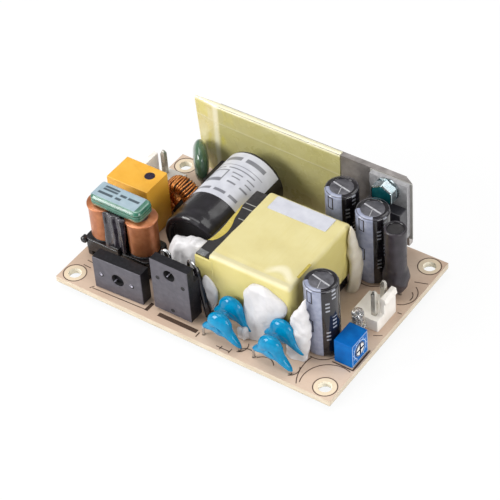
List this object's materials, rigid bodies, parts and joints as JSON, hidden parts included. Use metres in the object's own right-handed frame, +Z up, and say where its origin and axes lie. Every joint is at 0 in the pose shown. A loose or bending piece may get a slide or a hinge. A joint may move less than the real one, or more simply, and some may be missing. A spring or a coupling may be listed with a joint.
{
  "type": "open-frame switching power supply",
  "caption": "Open-frame switching power supply: a small board with mains header, filter, bulk capacitor, taped transformer, heatsink plate, output capacitors, output header and a trimmer.",
  "frame": {"origin": "middle of the mounting-hole pattern, on the underside of the board", "axes": "+Z up out of the component side, +X towards the output header, -X towards the mains header, +Y towards the heatsink"},
  "size_m": [0.0762, 0.0508, 0.0264],
  "materials": {
    "laminate": "pale beige laminate with brown print",
    "solder": "bright solder",
    "heatsink_aluminium": "rolled plate, light scratches",
    "tinned_wire": "tinned copper wire",
    "tinned_pin": "tinned pins",
    "polyester_film": "pale yellow polyester film, slightly translucent",
    "moulding_black": "moulded epoxy",
    "tinned_copper": "tinned tab",
    "pad_grey": "thin insulating pad",
    "zinc_steel": "bright zinc",
    "nylon_white": "natural nylon",
    "fuse_black": "moulded box",
    "box_amber": "amber box",
    "choke_green_tape": "ferrite yoke wound with green tape",
    "bobbin_black": "moulded former",
    "enamel_copper": "enamelled copper wire",
    "label_white": "bare printed label",
    "disc_green": "coated disc",
    "ring_core": "ferrite ring",
    "can_aluminium": "drawn can",
    "sleeve_black": "shrunk sleeve with a grey stripe",
    "bung_rubber": "rubber bung",
    "ferrite": "dark ferrite",
    "yellow_tape": "yellow polyester tape",
    "epoxy_blue": "glossy blue epoxy",
    "heat_shrink": "dark heat-shrink",
    "clear_epoxy": "clear lens",
    "trimmer_blue": "blue case",
    "rotor_white": "white rotor",
    "silicone_white": "cured white silicone",
    "chip_ceramic": "chip resistors and capacitors"
  },
  "bodies": {
    "supply": {"ac_header": "nylon_white", "blue_capacitor_discs": "epoxy_blue", "bridge_rectifier_body": "moulding_black", "bulk_capacitor_can": "can_aluminium", "bulk_capacitor_label": "label_white", "bulk_capacitor_leads": "tinned_wire", "bulk_capacitor_sleeve": "sleeve_black", "capacitor_bungs": "bung_rubber", "chip_parts": "chip_ceramic", "circuit_board": "laminate", "clamp_diode_bodies": "moulding_black", "clamp_diode_leads": "tinned_wire", "clamp_diode_sleeve": "sleeve_black", "component_leads": "tinned_wire", "fixing_silicone": "silicone_white", "fuse_body": "fuse_black", "header_pins": "tinned_pin", "heatsink_feet": "tinned_wire", "heatsink_film": "polyester_film", "heatsink_plate": "heatsink_aluminium", "led_lens": "clear_epoxy", "line_choke_bobbin": "bobbin_black", "line_choke_core": "choke_green_tape", "line_choke_label": "label_white", "line_choke_windings": "enamel_copper", "moulded_part_pins": "tinned_pin", "optocoupler_body": "moulding_black", "optocoupler_leads": "tinned_pin", "output_capacitor_cans": "can_aluminium", "output_capacitor_sleeves": "sleeve_black", "output_header": "nylon_white", "power_leads": "tinned_pin", "pwm_controller_body": "moulding_black", "rectifier_body": "moulding_black", "rectifier_pad": "pad_grey", "rectifier_screw": "zinc_steel", "rectifier_tab": "tinned_copper", "rectifier_washer": "zinc_steel", "rod_choke_core": "ferrite", "rod_choke_sleeve": "heat_shrink", "shunt_reference": "moulding_black", "solder_joints": "solder", "surface_terminals": "tinned_pin", "switch_transistor_body": "moulding_black", "thermistor_disc": "disc_green", "toroid_core": "ring_core", "toroid_leads": "tinned_wire", "toroid_winding": "enamel_copper", "transformer_band": "yellow_tape", "transformer_bobbin": "bobbin_black", "transformer_core": "ferrite", "transformer_label": "label_white", "transformer_tape": "yellow_tape", "transformer_winding": "yellow_tape", "trimmer_body": "trimmer_blue", "x_capacitor_box": "box_amber"},
    "trimmer_rotor": {"trimmer_rotor": "rotor_white"}
  },
  "joints": [
    {"name": "trimmer_turn", "type": "hinge", "parent": "supply", "child": "trimmer_rotor", "pos_m": [0.0372, -0.0114, 0.00515], "axis": [1, 0, 0], "range_deg": [-105, 105]}
  ]
}
